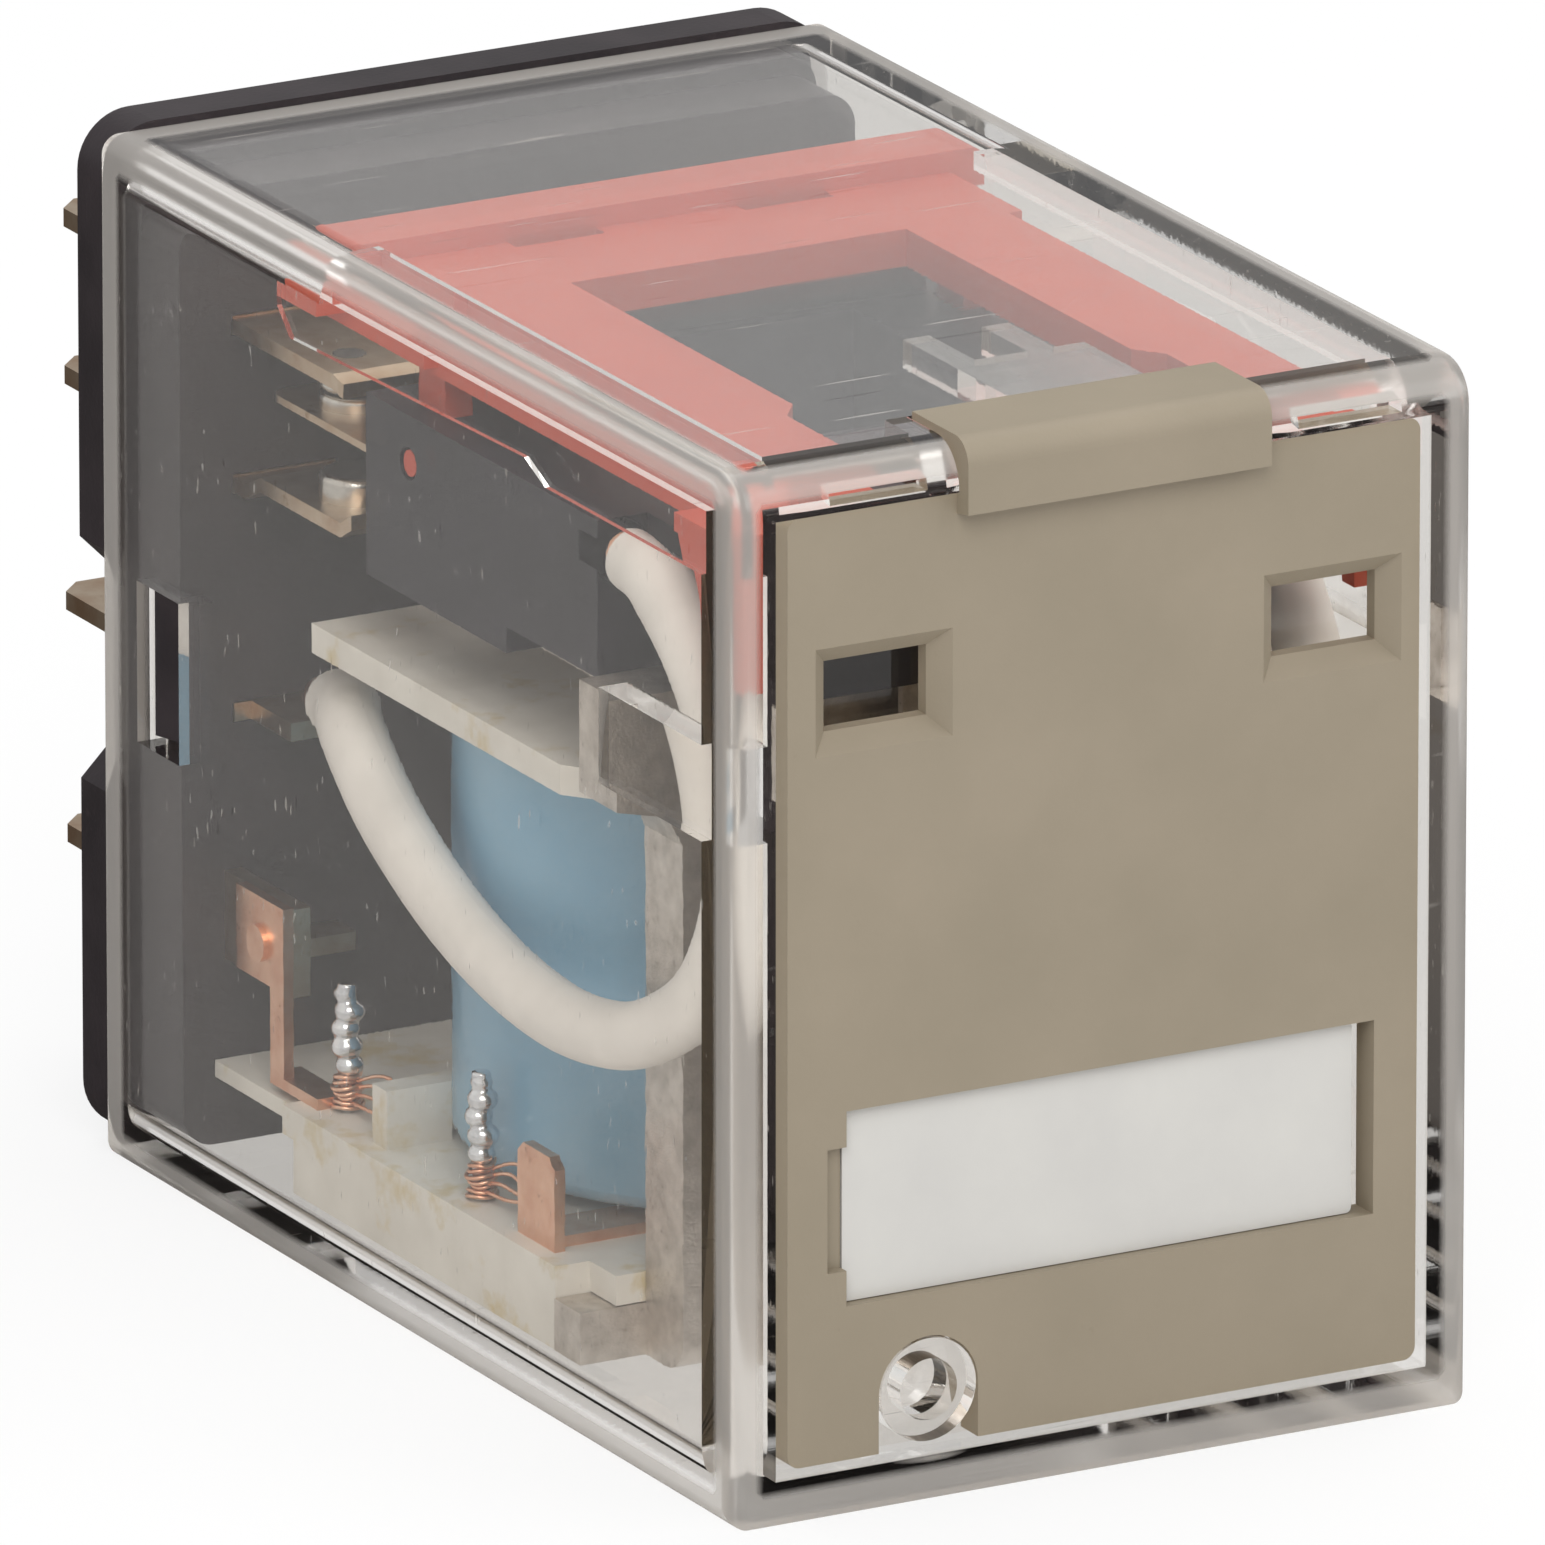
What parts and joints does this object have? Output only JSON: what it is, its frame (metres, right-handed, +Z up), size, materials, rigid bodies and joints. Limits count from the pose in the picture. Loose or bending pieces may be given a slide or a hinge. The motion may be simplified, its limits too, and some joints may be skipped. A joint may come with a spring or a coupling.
{
  "type": "plug-in control relay",
  "caption": "Plug-in change-over relay in a clear case with a tag plate, spade blades, coil, armature, contacts and a red indicator frame.",
  "frame": {"origin": "bottom centre of the bounding box, under the side that the relay lies on", "axes": "+Z up through the case, +Y along the blades out of the base, -Y out of the front plate, +X to the right seen from the front"},
  "size_m": [0.0216, 0.0424, 0.028],
  "materials": {
    "clear_polycarbonate": "clear, polished, faint scratches",
    "khaki_plate_plastic": "fine moulded matte",
    "white_tag_plastic": "smooth matte",
    "black_phenolic": "moulded, slightly dusty",
    "red_plastic": "moulded satin",
    "zinc_plated_steel": "plated, sheared edges",
    "white_nylon": "moulded, stained by flux",
    "blue_coil_tape": "polyester tape",
    "tinned_copper": "solder coated",
    "copper": "bare copper strip",
    "copper_alloy": "stamped strip, silver plated",
    "silver_contact": "silver alloy",
    "copper_braid": "fine braid",
    "white_sleeve": "soft extruded sleeve"
  },
  "bodies": {
    "root": {"base": "black_phenolic", "bobbin": "white_nylon", "case": "clear_polycarbonate", "coil_lead_front": "copper", "coil_lead_rear": "copper", "coil_pins": "tinned_copper", "coil_winding": "blue_coil_tape", "contact_nc_left": "silver_contact", "contact_nc_right": "silver_contact", "contact_no_left": "silver_contact", "contact_no_right": "silver_contact", "core": "zinc_plated_steel", "front_plate": "khaki_plate_plastic", "hinge_spring": "zinc_plated_steel", "hinge_spring_rivet": "zinc_plated_steel", "name_tag": "white_tag_plastic", "pigtail_left": "copper_braid", "pigtail_right": "copper_braid", "sleeve_left": "white_sleeve", "sleeve_right": "white_sleeve", "terminal_coil_left": "copper_alloy", "terminal_coil_right": "copper_alloy", "terminal_com_left": "copper_alloy", "terminal_com_right": "copper_alloy", "terminal_nc_left": "copper_alloy", "terminal_nc_right": "copper_alloy", "terminal_no_left": "copper_alloy", "terminal_no_right": "copper_alloy", "yoke": "zinc_plated_steel"},
    "armature": {"armature": "zinc_plated_steel", "carrier": "black_phenolic", "indicator_frame": "red_plastic", "movable_spring_left": "copper_alloy", "movable_spring_right": "copper_alloy", "movable_contact_left": "silver_contact", "movable_contact_right": "silver_contact"}
  },
  "joints": [
    {"name": "armature_hinge", "type": "hinge", "parent": "root", "child": "armature", "pos_m": [0, -0.0113, 0.0183], "axis": [-1, 0, 0], "range_deg": [0, 3.6], "stiffness_Nm_per_rad": 0.008, "springref_deg": -9.74, "deforming": ["hinge_spring"]}
  ]
}
